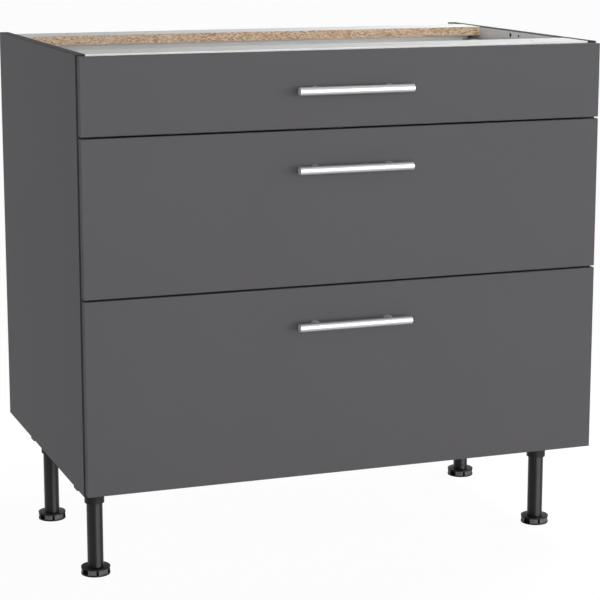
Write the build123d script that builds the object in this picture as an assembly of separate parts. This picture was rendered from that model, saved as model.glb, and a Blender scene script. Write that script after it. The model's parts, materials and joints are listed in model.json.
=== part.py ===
"""Kitchen base cabinet, 900 mm wide, with three full-width drawers on four screw feet.

Frame: the origin is on the floor, under the middle of the bounding box. +X points to the
right as the user faces the drawers, +Y to the wall behind, +Z up. Sizes are millimetres.
Depths inside the cabinet are counted from the front plane of the carcass (DEPTH_ZERO).
"""
import os

from build123d import *

# ------------------------------------------------------------------ boards and fronts
CABINET_WIDTH = 900.0
CARCASS_DEPTH = 571.0
BOARD = 16.0                  # side panels, bottom, rails and drawer boards
FLOOR_CLEARANCE = 166.0       # floor to the underside of the carcass
BOARD_EDGE_RADIUS = 0.6       # rounding of the edge banding

FRONT_HEIGHTS = {"bottom": 317.0, "middle": 253.0, "top": 123.5}
FRONT_THICKNESS = 16.0
FRONT_SPACING = 3.0           # gap between two fronts
FRONT_SIDE_REVEAL = 2.0       # the fronts are this much narrower on each side
FRONT_BOTTOM_REVEAL = 3.5     # carcass edge that shows below the lowest front
FRONT_TOP_REVEAL = 3.0        # and above the highest
FRONT_GAP = 2.0               # between the fronts and the carcass, bridged by the bumpers
FRONT_EDGE_RADIUS = 0.8

FRONT_RAIL_DEPTH = 88.0
REAR_RAIL_DEPTH = 88.0
REAR_RAIL_SETBACK = 60.0      # from the rail's back edge to the back edge of the side panels
WORKTOP_HOLE_RADIUS = 2.5
WORKTOP_HOLE_INSET = 84.0     # from the inner face of a side panel

BACK_THICKNESS = 3.0
BACK_SETBACK = 13.0           # the back panel's front face lies this far before the rail's back edge
GROOVE_DEPTH = 8.0
GROOVE_PLAY = 0.1             # each side of the back panel
GROOVE_END_PLAY = 0.5

# ------------------------------------------------------------------ board joints
JOINT_PAIR = 32.0             # cam bolt to dowel
JOINT_BEFORE_LEG = 64.5       # from the front legs forward to the bottom panel's first cam bolt
MIDDLE_JOINT = 264.0          # depth of its middle cam bolt
REAR_JOINT_INSET = 51.0       # from its back edge to its last cam bolt
RAIL_JOINT_INSET = 20.0       # from a rail's front edge to its cam bolt
SPARE_RAIL_HOLE = 262.0       # depth of the unused rail position
DOWEL_RADIUS = 4.0
DOWEL_IN_PANEL = 11.0
DOWEL_IN_BOARD = 19.0
CAM_RADIUS = 7.5
CAM_DEPTH = 12.5
CAM_BACKSET = 34.0            # from the side panel's inner face to the cam's axis
BOLT_THREAD_RADIUS = 2.5
BOLT_SHANK_RADIUS = 3.0
BOLT_HOLE_RADIUS = 3.5
HOLE_PLAY = 0.05              # radial play of dowels, cams and screws in their holes
HOLE_END_PLAY = 0.5

# ------------------------------------------------------------------ legs
LEG_SIDE_INSET = 42.5         # leg axis from the outside of the side panel
LEG_FRONT_DEPTH = 104.5
LEG_REAR_INSET = 145.5        # from the back edge of the side panel
TUBE_RADIUS = 13.4
TUBE_WALL = 2.0
TUBE_SPIGOT_STEP = 0.4        # the tube is thinner where it plugs into the collar
TUBE_BUSH_LENGTH = 30.0       # thick threaded end that holds the foot's stem
COLLAR_RADIUS = 16.5
COLLAR_REACH = 42.5           # below the underside of the carcass
COLLAR_PLAY = 0.15
PLATE_SIZE = 64.0
PLATE_THICKNESS = 4.0
PLATE_CORNER_RADIUS = 6.0
EAR_LENGTH = 22.5             # along the side panel, in front of the plate
EAR_INSET = 0.5               # from the outside of the side panel
EAR_WIDTH = 30.0
RIB_THICKNESS = 2.5
RIB_REACH = 13.0
RIB_DROP = 22.0
PLATE_SCREW_OFFSET = 22.0
PLATE_SCREW_RADIUS = 2.0
PLATE_SCREW_LENGTH = 12.0
PLATE_SCREW_HEAD_RADIUS = 4.0
PLATE_SCREW_HEAD_HEIGHT = 2.2

FOOT_RADIUS = 24.4
FOOT_RIM_HEIGHT = 2.8
FOOT_GRIP_HEIGHT = 7.8
FOOT_FLANGE_HEIGHT = 2.6
FOOT_GRIP_RECESS = 0.6
FOOT_SLOT_SETS = 3            # each a narrow slot and a wide one for a spanner
FOOT_SLOT_WIDTH = 4.2
FOOT_WIDE_SLOT_WIDTH = 12.4
FOOT_SLOT_DEPTH = 6.0
FOOT_SLOT_TURN = -7.0         # degrees, so that a narrow slot faces the front left
FOOT_WIDE_SLOT_TURN = -54.5   # degrees, from the narrow slot
FOOT_STEM_RADIUS = 9.0
FOOT_STEM_PLAY = 0.3
FOOT_TRAVEL = 20.0
FOOT_THREAD_ENGAGED = 28.0    # stem left in the bush at full travel
FOOT_EDGE_RADIUS = 0.6

# ------------------------------------------------------------------ handles
HANDLE_LENGTH = 197.0
HANDLE_BAR_RADIUS = 7.0
HANDLE_HOLE_SPACING = 128.0
HANDLE_STANDOFF = 24.0        # front face to the bar's axis
HANDLE_DROP = 61.75           # below the top edge of each front, half the top front's height
HANDLE_END_CHAMFER = 0.7
POST_RADIUS = 6.5
POST_SPIGOT_RADIUS = 2.5
POST_SPIGOT_LENGTH = 4.0
POST_PLAY = 0.05
HANDLE_SCREW_RADIUS = 2.0
HANDLE_SCREW_IN_POST = 12.0
HANDLE_SCREW_HEAD_RADIUS = 4.0
HANDLE_SCREW_HEAD_HEIGHT = 2.4

# ------------------------------------------------------------------ drawer boxes
DRAWER_LIFT = {"bottom": 26.0, "middle": 26.0, "top": 18.0}   # box above its front's lower edge
DRAWER_BACK_CLEARANCE = 32.0  # from the drawers to the cabinet's back panel
RAIL_CLEARANCE = 6.5          # from the top drawer's sides to the front rail
SIDE_WIDTH = 12.0
STEEL = 1.0
LEDGE_WIDTH = 12.0            # lip under the drawer's bottom board
HIGH_BACK = 200.0             # back board of the drawers with gallery rails
LOW_BACK_RISE = 5.5           # the other back board ends above the top of its drawer sides
BRACKET_THICKNESS = 2.0
BRACKET_LENGTH = 60.0
BRACKET_MARGIN = 10.0         # from the lower and upper edge of the drawer side
BRACKET_PLAY = 0.2
BRACKET_PEG_RADIUS = 5.0
BRACKET_PEG_LENGTH = 11.0
BRACKET_PEG_SPACING = 32.0
GALLERY_DRAWERS = ("bottom", "middle")
GALLERY_RADIUS = 5.0
GALLERY_WALL = 1.0
GALLERY_HEIGHT = 160.0        # rail axis above the underside of the box
GALLERY_COLLAR_RADIUS = 5.9
GALLERY_COLLAR_LENGTH = 12.0

# ------------------------------------------------------------------ telescopic runners
RUNNER_SPACE = 12.7           # between side panel and drawer side
RUNNER_SETBACK = 2.0          # cabinet rail behind the carcass front plane
RUNNER_HEIGHT = 45.0
RUNNER_STEEL = 1.2
RUNNER_PLAY = 0.4             # between the flanges of two rails
RUNNER_FACE_CLEARANCE = 3.1   # from the two outer rails' flanges to the drawer side
INTERMEDIATE_RAIL_OFFSET = 4.4     # its web from the side panel
RUNNER_TIP_CLEARANCE = 1.1    # from the drawer rail's flanges to the intermediate rail's web
RUNNER_SCREW_DEPTHS = (37.0, 165.0)    # the first two screws, on the 32 mm grid
RUNNER_SCREW_END = 63.0       # from the last screw to the runner's back end
RUNNER_SCREW_RADIUS = 2.5
RUNNER_SCREW_LENGTH = 11.0
RUNNER_SCREW_HEAD_RADIUS = 4.0
RUNNER_SCREW_HEAD_HEIGHT = 1.4

BUMPER_RADIUS = 4.0
BUMPER_INSET = 14.0           # from the upper and lower edge of each front

# ------------------------------------------------------------------ worked out from the above
NAMES = ("bottom", "middle", "top")
CARCASS_HEIGHT = (FRONT_BOTTOM_REVEAL + sum(FRONT_HEIGHTS.values())
                  + FRONT_SPACING * (len(NAMES) - 1) + FRONT_TOP_REVEAL)
CARCASS_BOTTOM = FLOOR_CLEARANCE
CARCASS_TOP = CARCASS_BOTTOM + CARCASS_HEIGHT
BOTTOM_TOP = CARCASS_BOTTOM + BOARD
RAIL_BOTTOM = CARCASS_TOP - BOARD

HALF_WIDTH = CABINET_WIDTH / 2
INNER_HALF = HALF_WIDTH - BOARD
HANDLE_REACH = HANDLE_STANDOFF + HANDLE_BAR_RADIUS
TOTAL_DEPTH = HANDLE_REACH + FRONT_THICKNESS + FRONT_GAP + CARCASS_DEPTH
DEPTH_ZERO = TOTAL_DEPTH / 2 - CARCASS_DEPTH
CARCASS_BACK = DEPTH_ZERO + CARCASS_DEPTH
FRONT_INSIDE = DEPTH_ZERO - FRONT_GAP
FRONT_FACE = FRONT_INSIDE - FRONT_THICKNESS
BAR_Y = FRONT_FACE - HANDLE_STANDOFF

REAR_RAIL_BACK = CARCASS_BACK - REAR_RAIL_SETBACK
REAR_RAIL_FRONT = REAR_RAIL_BACK - REAR_RAIL_DEPTH
BACK_FACE = REAR_RAIL_BACK - BACK_SETBACK

LEG_X = HALF_WIDTH - LEG_SIDE_INSET
LEG_YS = {"front": DEPTH_ZERO + LEG_FRONT_DEPTH, "rear": CARCASS_BACK - LEG_REAR_INSET}
FOOT_HEIGHT = FOOT_RIM_HEIGHT + FOOT_GRIP_HEIGHT + FOOT_FLANGE_HEIGHT
PLATE_BOTTOM = CARCASS_BOTTOM - PLATE_THICKNESS
COLLAR_BOTTOM = CARCASS_BOTTOM - COLLAR_REACH
SPIGOT_RADIUS = TUBE_RADIUS - TUBE_SPIGOT_STEP

BOX_HALF = INNER_HALF - RUNNER_SPACE
BOX_INNER_HALF = BOX_HALF - SIDE_WIDTH
SIDE_FRONT = FRONT_INSIDE + BRACKET_THICKNESS
BOX_BACK = BACK_FACE - DRAWER_BACK_CLEARANCE - BOARD
DRAWER_LENGTH = BOX_BACK - SIDE_FRONT            # of the steel sides and of the runners
RUNNER_FRONT = DEPTH_ZERO + RUNNER_SETBACK
RUNNER_BACK = RUNNER_FRONT + DRAWER_LENGTH
CABINET_RAIL_FLANGE = RUNNER_SPACE - RUNNER_FACE_CLEARANCE
DRAWER_RAIL_FLANGE = RUNNER_SPACE - INTERMEDIATE_RAIL_OFFSET - RUNNER_STEEL - RUNNER_TIP_CLEARANCE


def front_spans():
    """Lower and upper edge of each drawer front."""
    spans = {}
    low = CARCASS_BOTTOM + FRONT_BOTTOM_REVEAL
    for name in NAMES:
        spans[name] = (low, low + FRONT_HEIGHTS[name])
        low += FRONT_HEIGHTS[name] + FRONT_SPACING
    return spans


FRONT_SPANS = front_spans()
BOX_BOTTOMS = {name: FRONT_SPANS[name][0] + DRAWER_LIFT[name] for name in NAMES}
SIDE_HEIGHT = RAIL_BOTTOM - RAIL_CLEARANCE - BOX_BOTTOMS["top"]
RUNNER_CENTRES = {name: BOX_BOTTOMS[name] + SIDE_HEIGHT / 2 for name in NAMES}
HANDLE_ZS = {name: FRONT_SPANS[name][1] - HANDLE_DROP for name in NAMES}


# ------------------------------------------------------------------ small helpers
def block(x, y, z):
    """A box between three (low, high) pairs."""
    size = Box(x[1] - x[0], y[1] - y[0], z[1] - z[0], align=(Align.MIN, Align.MIN, Align.MIN))
    return Pos(x[0], y[0], z[0]) * size


def rod(radius, start, end):
    """A round bar from one point to another."""
    path = Vector(*end) - Vector(*start)
    place = Plane(origin=start, z_dir=path)
    return place * Cylinder(radius, path.length, align=(Align.CENTER, Align.CENTER, Align.MIN))


def mirrored(shape):
    """The same piece on the other side of the cabinet."""
    return mirror(shape, about=Plane.YZ)


def group(shapes):
    """Separate solids that share one node."""
    return Compound(children=[solid for shape in shapes for solid in shape.solids()])


def pair(shape):
    """A right-hand piece and its mirror image."""
    return group([shape, mirrored(shape)])


def profile_along_y(outline, y):
    """A closed outline of (x, z) points, drawn out between two depths."""
    face = make_face(Plane.XZ * Polyline(*outline, close=True))
    return Pos(0, y[0], 0) * extrude(face, amount=y[1] - y[0], dir=(0, 1, 0))


def channel(web, tip, z, steel, y):
    """A C-section rail: a web at x=web with two flanges that end at x=tip."""
    step = steel if tip > web else -steel
    outline = [(web, z[0]), (tip, z[0]), (tip, z[0] + steel), (web + step, z[0] + steel),
               (web + step, z[1] - steel), (tip, z[1] - steel), (tip, z[1]), (web, z[1])]
    return profile_along_y(outline, y)


# ------------------------------------------------------------------ board joints
def rail_joint_depths():
    """Depths of the cam bolts in the two rails."""
    return (DEPTH_ZERO + RAIL_JOINT_INSET, REAR_RAIL_FRONT + RAIL_JOINT_INSET)


def bottom_joint_depths():
    """Depths of the cam bolts in the bottom panel."""
    first = LEG_YS["front"] - JOINT_BEFORE_LEG
    return (first, DEPTH_ZERO + MIDDLE_JOINT, CARCASS_BACK - REAR_JOINT_INSET)


def board_joints():
    """Height of the board's middle and depth of the cam bolt, for every board joint."""
    joints = [(CARCASS_BOTTOM + BOARD / 2, y) for y in bottom_joint_depths()]
    joints += [(RAIL_BOTTOM + BOARD / 2, y) for y in rail_joint_depths()]
    return joints


def dowel_hole(y, z, into_board):
    """Right-hand hole for a dowel, in the side panel or in the board that meets it."""
    reach = -(DOWEL_IN_BOARD + HOLE_END_PLAY) if into_board else DOWEL_IN_PANEL + HOLE_END_PLAY
    return rod(DOWEL_RADIUS, (INNER_HALF, y, z), (INNER_HALF + reach, y, z))


def bolt_hole_in_panel(y, z):
    return rod(BOLT_THREAD_RADIUS, (INNER_HALF, y, z),
               (INNER_HALF + DOWEL_IN_PANEL + HOLE_END_PLAY, y, z))


def cam_seat(y, z, radius, depth):
    """Right-hand cylinder for a cam, sunk into the underside of its board."""
    x = INNER_HALF - CAM_BACKSET
    low = z - BOARD / 2
    return rod(radius, (x, y, low), (x, y, low + depth))


def drill_board(board, y, z):
    """Cut the holes of one joint into both ends of a board."""
    cuts = [dowel_hole(y + JOINT_PAIR, z, True),
            rod(BOLT_HOLE_RADIUS, (INNER_HALF, y, z), (INNER_HALF - CAM_BACKSET, y, z)),
            cam_seat(y, z, CAM_RADIUS, CAM_DEPTH)]
    for cut in cuts:
        board -= cut
        board -= mirrored(cut)
    return board


def dowels():
    radius = DOWEL_RADIUS - HOLE_PLAY
    pieces = []
    for z, y in board_joints():
        peg = rod(radius, (INNER_HALF - DOWEL_IN_BOARD, y + JOINT_PAIR, z),
                  (INNER_HALF + DOWEL_IN_PANEL, y + JOINT_PAIR, z))
        pieces += [peg, mirrored(peg)]
    return group(pieces)


def cam_bolts():
    pieces = []
    for z, y in board_joints():
        thread = rod(BOLT_THREAD_RADIUS - HOLE_PLAY, (INNER_HALF, y, z),
                     (INNER_HALF + DOWEL_IN_PANEL, y, z))
        shank = rod(BOLT_SHANK_RADIUS, (INNER_HALF - CAM_BACKSET, y, z), (INNER_HALF, y, z))
        bolt = thread + shank
        pieces += [bolt, mirrored(bolt)]
    return group(pieces)


def cam_housings():
    """Round cams, each hollowed where the head of its bolt goes in."""
    pieces = []
    for z, y in board_joints():
        cam = cam_seat(y, z, CAM_RADIUS - HOLE_PLAY, CAM_DEPTH - HOLE_PLAY)
        x = INNER_HALF - CAM_BACKSET
        cam -= rod(BOLT_HOLE_RADIUS, (x - BOLT_HOLE_RADIUS, y, z), (x + 2 * CAM_RADIUS, y, z))
        pieces += [cam, mirrored(cam)]
    return group(pieces)


# ------------------------------------------------------------------ carcass boards
def groove_span():
    return (BACK_FACE - GROOVE_PLAY, BACK_FACE + BACK_THICKNESS + GROOVE_PLAY)


def side_panel():
    """Right side panel, with its holes and the groove for the back panel."""
    panel = block((INNER_HALF, HALF_WIDTH), (DEPTH_ZERO, CARCASS_BACK), (CARCASS_BOTTOM, CARCASS_TOP))
    front = panel.faces().sort_by(Axis.Y)[0]
    top = panel.faces().sort_by(Axis.Z)[-1]
    edges = {edge for face in (front, top) for edge in face.edges()}
    panel = fillet(ShapeList(edges), BOARD_EDGE_RADIUS)

    panel -= block((INNER_HALF, INNER_HALF + GROOVE_DEPTH), groove_span(),
                   (BOTTOM_TOP - GROOVE_DEPTH, RAIL_BOTTOM + GROOVE_DEPTH))
    rail_z = RAIL_BOTTOM + BOARD / 2
    spare_y = DEPTH_ZERO + SPARE_RAIL_HOLE
    for z, y in board_joints() + [(rail_z, spare_y)]:
        panel -= bolt_hole_in_panel(y, z)
        panel -= dowel_hole(y + JOINT_PAIR, z, False)
    for z in RUNNER_CENTRES.values():
        for y in runner_screw_depths():
            panel -= rod(RUNNER_SCREW_RADIUS, (INNER_HALF, y, z),
                         (INNER_HALF + RUNNER_SCREW_LENGTH + HOLE_END_PLAY, y, z))
    return panel


def bottom_panel():
    board = block((-INNER_HALF, INNER_HALF), (DEPTH_ZERO, CARCASS_BACK), (CARCASS_BOTTOM, BOTTOM_TOP))
    board -= block((-INNER_HALF, INNER_HALF), groove_span(), (BOTTOM_TOP - GROOVE_DEPTH, BOTTOM_TOP))
    for y in bottom_joint_depths():
        board = drill_board(board, y, CARCASS_BOTTOM + BOARD / 2)
    for x, y in plate_screw_places():
        board -= rod(PLATE_SCREW_RADIUS, (x, y, CARCASS_BOTTOM),
                     (x, y, CARCASS_BOTTOM + PLATE_SCREW_LENGTH - PLATE_THICKNESS + HOLE_END_PLAY))
    return board


def rail(y, joint_y):
    """A flat board under the worktop, drilled for two worktop screws."""
    board = block((-INNER_HALF, INNER_HALF), y, (RAIL_BOTTOM, CARCASS_TOP))
    board = drill_board(board, joint_y, RAIL_BOTTOM + BOARD / 2)
    middle = (y[0] + y[1]) / 2
    for x in (WORKTOP_HOLE_INSET - INNER_HALF, INNER_HALF - WORKTOP_HOLE_INSET):
        board -= rod(WORKTOP_HOLE_RADIUS, (x, middle, RAIL_BOTTOM), (x, middle, CARCASS_TOP))
    return board


def front_rail():
    return rail((DEPTH_ZERO, DEPTH_ZERO + FRONT_RAIL_DEPTH), rail_joint_depths()[0])


def rear_rail():
    board = rail((REAR_RAIL_FRONT, REAR_RAIL_BACK), rail_joint_depths()[1])
    return board - block((-INNER_HALF, INNER_HALF), groove_span(), (RAIL_BOTTOM, RAIL_BOTTOM + GROOVE_DEPTH))


def back_panel():
    """Thin board held in grooves on all four sides."""
    reach = GROOVE_DEPTH - GROOVE_END_PLAY
    return block((-INNER_HALF - reach, INNER_HALF + reach), (BACK_FACE, BACK_FACE + BACK_THICKNESS),
                 (BOTTOM_TOP - reach, RAIL_BOTTOM + reach))


def bumpers():
    """Clear pads on the front edges of the side panels, four behind each front."""
    x = HALF_WIDTH - BOARD / 2
    pads = []
    for low, high in FRONT_SPANS.values():
        for z in (low + BUMPER_INSET, high - BUMPER_INSET):
            pad = rod(BUMPER_RADIUS, (x, FRONT_INSIDE, z), (x, DEPTH_ZERO, z))
            pads += [pad, mirrored(pad)]
    return group(pads)


# ------------------------------------------------------------------ legs
def leg_places():
    """Name and axis of each leg."""
    for end, y in LEG_YS.items():
        for side, x in (("left", -LEG_X), ("right", LEG_X)):
            yield f"{end}_{side}", x, y


def plate_screw_places():
    offsets = (-PLATE_SCREW_OFFSET, PLATE_SCREW_OFFSET)
    return [(x + dx, y + dy) for _, x, y in leg_places() for dx in offsets for dy in offsets]


def leg_socket(y):
    """Right-hand socket: plate, ear under the side panel, collar and four ribs."""
    half = PLATE_SIZE / 2
    plate = block((LEG_X - half, LEG_X + half), (y - half, y + half), (PLATE_BOTTOM, CARCASS_BOTTOM))
    plate = fillet(plate.edges().filter_by(Axis.Z), PLATE_CORNER_RADIUS)
    ear_x = (HALF_WIDTH - EAR_INSET - EAR_WIDTH, HALF_WIDTH - EAR_INSET)
    ear = block(ear_x, (y - half - EAR_LENGTH, y - half), (PLATE_BOTTOM, CARCASS_BOTTOM))
    root = block((ear_x[0], LEG_X + half), (y - half, y), (PLATE_BOTTOM, CARCASS_BOTTOM))
    socket = plate + ear + root

    reach = COLLAR_RADIUS + RIB_REACH
    outline = [(-reach, PLATE_BOTTOM), (reach, PLATE_BOTTOM), (COLLAR_RADIUS, PLATE_BOTTOM - RIB_DROP),
               (-COLLAR_RADIUS, PLATE_BOTTOM - RIB_DROP)]
    rib = profile_along_y(outline, (-RIB_THICKNESS / 2, RIB_THICKNESS / 2))
    for turn in (0, 90):
        socket += Pos(LEG_X, y, 0) * Rot(0, 0, turn) * rib
    socket += rod(COLLAR_RADIUS, (LEG_X, y, COLLAR_BOTTOM), (LEG_X, y, PLATE_BOTTOM))
    socket -= rod(SPIGOT_RADIUS + COLLAR_PLAY, (LEG_X, y, COLLAR_BOTTOM), (LEG_X, y, PLATE_BOTTOM))
    for dx in (-PLATE_SCREW_OFFSET, PLATE_SCREW_OFFSET):
        for dy in (-PLATE_SCREW_OFFSET, PLATE_SCREW_OFFSET):
            x, hole_y = LEG_X + dx, y + dy
            socket -= rod(PLATE_SCREW_RADIUS + HOLE_PLAY, (x, hole_y, PLATE_BOTTOM),
                          (x, hole_y, CARCASS_BOTTOM))
    return socket


def leg_sockets():
    right = [leg_socket(y) for y in LEG_YS.values()]
    return group(right + [mirrored(socket) for socket in right])


def plate_screws():
    pieces = []
    for x, y in plate_screw_places():
        shank = rod(PLATE_SCREW_RADIUS - HOLE_PLAY, (x, y, PLATE_BOTTOM),
                    (x, y, PLATE_BOTTOM + PLATE_SCREW_LENGTH))
        head = rod(PLATE_SCREW_HEAD_RADIUS, (x, y, PLATE_BOTTOM - PLATE_SCREW_HEAD_HEIGHT),
                   (x, y, PLATE_BOTTOM))
        pieces.append(shank + head)
    return group(pieces)


def leg_tube(x, y):
    """Plastic tube with a thick, threaded lower end and a spigot that plugs into the collar."""
    tube = rod(TUBE_RADIUS, (x, y, FOOT_HEIGHT), (x, y, COLLAR_BOTTOM))
    tube += rod(SPIGOT_RADIUS, (x, y, FOOT_HEIGHT), (x, y, PLATE_BOTTOM))
    tube -= rod(FOOT_STEM_RADIUS + FOOT_STEM_PLAY, (x, y, FOOT_HEIGHT), (x, y, PLATE_BOTTOM))
    tube -= rod(TUBE_RADIUS - TUBE_WALL, (x, y, FOOT_HEIGHT + TUBE_BUSH_LENGTH), (x, y, PLATE_BOTTOM))
    return tube


def foot(x, y):
    """Screw foot: rim, slotted grip, flange and stem."""
    grip_top = FOOT_RIM_HEIGHT + FOOT_GRIP_HEIGHT
    rim = Cylinder(FOOT_RADIUS, FOOT_RIM_HEIGHT, align=(Align.CENTER, Align.CENTER, Align.MIN))
    rim = fillet(rim.edges(), FOOT_EDGE_RADIUS)
    grip = rod(FOOT_RADIUS - FOOT_GRIP_RECESS, (0, 0, FOOT_RIM_HEIGHT), (0, 0, grip_top))
    inner = FOOT_RADIUS - FOOT_GRIP_RECESS - FOOT_SLOT_DEPTH
    for width, turn in ((FOOT_SLOT_WIDTH, 0), (FOOT_WIDE_SLOT_WIDTH, FOOT_WIDE_SLOT_TURN)):
        slot = block((-width / 2, width / 2), (-FOOT_RADIUS, -inner), (FOOT_RIM_HEIGHT, grip_top))
        for index in range(FOOT_SLOT_SETS):
            grip -= Rot(0, 0, FOOT_SLOT_TURN + turn + index * 360 / FOOT_SLOT_SETS) * slot
    flange = Cylinder(FOOT_RADIUS, FOOT_FLANGE_HEIGHT, align=(Align.CENTER, Align.CENTER, Align.MIN))
    flange = Pos(0, 0, grip_top) * fillet(flange.edges(), FOOT_EDGE_RADIUS)
    stem = rod(FOOT_STEM_RADIUS, (0, 0, FOOT_HEIGHT), (0, 0, FOOT_HEIGHT + FOOT_TRAVEL + FOOT_THREAD_ENGAGED))
    return Pos(x, y, 0) * (rim + grip + flange + stem)


# ------------------------------------------------------------------ fronts and handles
def handle_post_xs():
    return (-HANDLE_HOLE_SPACING / 2, HANDLE_HOLE_SPACING / 2)


def drawer_front(name):
    low, high = FRONT_SPANS[name]
    half = HALF_WIDTH - FRONT_SIDE_REVEAL
    front = block((-half, half), (FRONT_FACE, FRONT_INSIDE), (low, high))
    front = fillet(front.edges(), FRONT_EDGE_RADIUS)
    z = HANDLE_ZS[name]
    for x in handle_post_xs():
        front -= rod(HANDLE_SCREW_RADIUS + HOLE_PLAY, (x, FRONT_FACE, z), (x, FRONT_INSIDE, z))
    for x, peg_z in bracket_pegs(name):
        front -= rod(BRACKET_PEG_RADIUS, (x, FRONT_INSIDE - BRACKET_PEG_LENGTH - HOLE_END_PLAY, peg_z),
                     (x, FRONT_INSIDE, peg_z))
    return front


def handle_bar(name):
    z = HANDLE_ZS[name]
    bar = rod(HANDLE_BAR_RADIUS, (-HANDLE_LENGTH / 2, BAR_Y, z), (HANDLE_LENGTH / 2, BAR_Y, z))
    bar = chamfer(bar.edges().filter_by(GeomType.CIRCLE), HANDLE_END_CHAMFER)
    seat_y = BAR_Y + HANDLE_BAR_RADIUS
    for x in handle_post_xs():
        bar -= rod(POST_SPIGOT_RADIUS + POST_PLAY, (x, seat_y - POST_SPIGOT_LENGTH - POST_PLAY, z),
                   (x, seat_y, z))
    return bar


def handle_posts(name):
    """Two round posts, saddled to the bar and tapped for the screws."""
    z = HANDLE_ZS[name]
    seat_y = BAR_Y + HANDLE_BAR_RADIUS
    bar_space = rod(HANDLE_BAR_RADIUS + POST_PLAY, (-HANDLE_LENGTH / 2, BAR_Y, z), (HANDLE_LENGTH / 2, BAR_Y, z))
    posts = []
    for x in handle_post_xs():
        post = rod(POST_RADIUS, (x, BAR_Y, z), (x, FRONT_FACE, z)) - bar_space
        post += rod(POST_SPIGOT_RADIUS, (x, seat_y - POST_SPIGOT_LENGTH, z), (x, seat_y + POST_RADIUS, z))
        depth = HANDLE_SCREW_IN_POST + HOLE_END_PLAY
        post -= rod(HANDLE_SCREW_RADIUS + HOLE_PLAY, (x, FRONT_FACE - depth, z), (x, FRONT_FACE, z))
        posts.append(post)
    return group(posts)


def handle_screws(name):
    z = HANDLE_ZS[name]
    screws = []
    for x in handle_post_xs():
        shank = rod(HANDLE_SCREW_RADIUS, (x, FRONT_FACE - HANDLE_SCREW_IN_POST, z), (x, FRONT_INSIDE, z))
        head = rod(HANDLE_SCREW_HEAD_RADIUS, (x, FRONT_INSIDE, z),
                   (x, FRONT_INSIDE + HANDLE_SCREW_HEAD_HEIGHT, z))
        screws.append(shank + head)
    return group(screws)


# ------------------------------------------------------------------ drawer boxes
def drawer_side(name):
    """Right-hand double-wall steel side with a lip under the bottom board."""
    low = BOX_BOTTOMS[name]
    high = low + SIDE_HEIGHT
    outline = [(BOX_HALF, low), (BOX_HALF, high), (BOX_INNER_HALF, high), (BOX_INNER_HALF, low + STEEL),
               (BOX_INNER_HALF - LEDGE_WIDTH, low + STEEL), (BOX_INNER_HALF - LEDGE_WIDTH, low),
               (BOX_INNER_HALF + STEEL, low), (BOX_INNER_HALF + STEEL, high - STEEL),
               (BOX_HALF - STEEL, high - STEEL), (BOX_HALF - STEEL, low)]
    return profile_along_y(outline, (SIDE_FRONT, BOX_BACK))


def drawer_base(name):
    low = BOX_BOTTOMS[name] + STEEL
    return block((-BOX_INNER_HALF, BOX_INNER_HALF), (FRONT_INSIDE, BOX_BACK), (low, low + BOARD))


def drawer_back(name):
    low = BOX_BOTTOMS[name]
    height = HIGH_BACK if name in GALLERY_DRAWERS else SIDE_HEIGHT + LOW_BACK_RISE
    return block((-BOX_HALF, BOX_HALF), (BOX_BACK, BOX_BACK + BOARD), (low, low + height))


def bracket_pegs(name):
    """Where the knock-in pegs of both brackets enter the front."""
    middle = BOX_BOTTOMS[name] + SIDE_HEIGHT / 2
    x = BOX_HALF - SIDE_WIDTH / 2
    heights = (middle - BRACKET_PEG_SPACING / 2, middle + BRACKET_PEG_SPACING / 2)
    return [(side * x, z) for side in (-1, 1) for z in heights]


def front_brackets(name):
    """Flange against the front, tongue inside the hollow drawer side, two pegs."""
    low = BOX_BOTTOMS[name] + BRACKET_MARGIN
    high = BOX_BOTTOMS[name] + SIDE_HEIGHT - BRACKET_MARGIN
    flange = block((BOX_INNER_HALF, BOX_HALF), (FRONT_INSIDE, SIDE_FRONT), (low, high))
    tongue = block((BOX_INNER_HALF + STEEL + BRACKET_PLAY, BOX_HALF - STEEL - BRACKET_PLAY),
                   (SIDE_FRONT, SIDE_FRONT + BRACKET_LENGTH), (low, high))
    hollow = block((BOX_INNER_HALF + STEEL + BRACKET_PLAY + BRACKET_THICKNESS,
                    BOX_HALF - STEEL - BRACKET_PLAY - BRACKET_THICKNESS),
                   (SIDE_FRONT, SIDE_FRONT + BRACKET_LENGTH), (low, high))
    bracket = flange + (tongue - hollow)
    for x, z in bracket_pegs(name):
        if x > 0:
            bracket += rod(BRACKET_PEG_RADIUS - HOLE_PLAY, (x, FRONT_INSIDE - BRACKET_PEG_LENGTH, z),
                           (x, FRONT_INSIDE, z))
    return pair(bracket)


def gallery_rails(name):
    """Round side rails between the front and the high back board."""
    x = BOX_HALF - SIDE_WIDTH / 2
    z = BOX_BOTTOMS[name] + GALLERY_HEIGHT
    tube = rod(GALLERY_RADIUS, (x, FRONT_INSIDE, z), (x, BOX_BACK, z))
    for y in ((FRONT_INSIDE, FRONT_INSIDE + GALLERY_COLLAR_LENGTH), (BOX_BACK - GALLERY_COLLAR_LENGTH, BOX_BACK)):
        tube += rod(GALLERY_COLLAR_RADIUS, (x, y[0], z), (x, y[1], z))
    tube -= rod(GALLERY_RADIUS - GALLERY_WALL, (x, FRONT_INSIDE, z), (x, BOX_BACK, z))
    return pair(tube)


# ------------------------------------------------------------------ runners
def runner_heights(name, inset):
    half = RUNNER_HEIGHT / 2 - inset
    return (RUNNER_CENTRES[name] - half, RUNNER_CENTRES[name] + half)


def runner_span():
    return (RUNNER_FRONT, RUNNER_BACK)


def runner_screw_depths():
    return [DEPTH_ZERO + depth for depth in RUNNER_SCREW_DEPTHS] + [RUNNER_BACK - RUNNER_SCREW_END]


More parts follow.
